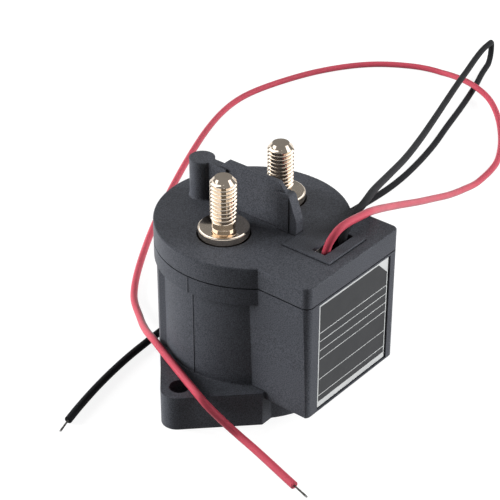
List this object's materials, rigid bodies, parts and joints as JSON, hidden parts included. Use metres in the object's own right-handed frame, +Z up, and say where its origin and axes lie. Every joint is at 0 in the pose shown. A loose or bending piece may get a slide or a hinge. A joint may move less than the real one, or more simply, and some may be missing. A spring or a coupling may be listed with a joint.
{
  "type": "high voltage dc contactor",
  "caption": "Sealed high voltage DC contactor: round moulded body with a control box, threaded terminals, a barrier between them, mounting ears and loose coil leads.",
  "frame": {"origin": "where the plunger's axis meets the mounting surface, on the base's underside", "axes": "+Z up along the plunger and the terminals, X along the line of the terminals, nameplate on the -Y side"},
  "size_m": [0.2924, 0.1709, 0.0724],
  "materials": {
    "housing_plastic": "fine moulded texture",
    "cover_plastic": "fine moulded texture",
    "nameplate": "satin printed film",
    "plated_brass": "turned and plated",
    "ceramic": "fired alumina",
    "steel": "turned",
    "silver_contact": "bright",
    "copper": "bright drawn",
    "spring_steel": "drawn wire",
    "soft_iron": "zinc plated",
    "bobbin_plastic": "moulded",
    "tinned_copper": "tinned",
    "magnet": "sintered",
    "board": "solder mask",
    "can": "drawn can",
    "chip": "moulded",
    "red_insulation": "extruded insulation",
    "black_insulation": "extruded insulation"
  },
  "bodies": {
    "base": {"housing": "housing_plastic", "top_cover": "cover_plastic", "lead_exit_plate": "cover_plastic", "label_plate": "nameplate", "terminal_stud_left": "plated_brass", "terminal_stud_right": "plated_brass", "arc_chamber": "ceramic", "chamber_ring": "steel", "fixed_tips": "silver_contact", "return_spring": "spring_steel", "fixed_core": "soft_iron", "plunger_sleeve": "steel", "coil_bobbin": "bobbin_plastic", "coil_winding": "copper", "coil_pins": "tinned_copper", "yoke_cup": "soft_iron", "yoke_plate": "soft_iron", "magnet_left": "magnet", "magnet_right": "magnet", "gas_tube": "copper", "circuit_board": "board", "filter_capacitor": "can", "drive_transistor": "chip", "flyback_diode": "chip", "red_lead": "red_insulation", "black_lead": "black_insulation", "red_lead_tip": "tinned_copper", "black_lead_tip": "tinned_copper"},
    "plunger": {"armature": "soft_iron", "plunger_shaft": "steel", "bridge_clip": "steel", "contact_spring": "spring_steel"},
    "bridge": {"contact_bridge": "copper", "bridge_tips": "silver_contact"}
  },
  "joints": [
    {"name": "plunger_stroke", "type": "slide", "parent": "base", "child": "plunger", "axis": [0, 0, 1], "range_m": [0, 0.0022], "stiffness_N_per_m": 800, "springref_m": -0.005, "deforming": ["return_spring"]},
    {"name": "bridge_overtravel", "type": "slide", "parent": "plunger", "child": "bridge", "axis": [0, 0, 1], "range_m": [-0.0006, 0], "deforming": ["contact_spring"]}
  ],
  "couplings": [
    {"joint": "bridge_overtravel", "follows": "plunger_stroke", "ratio": -0.27273}
  ]
}
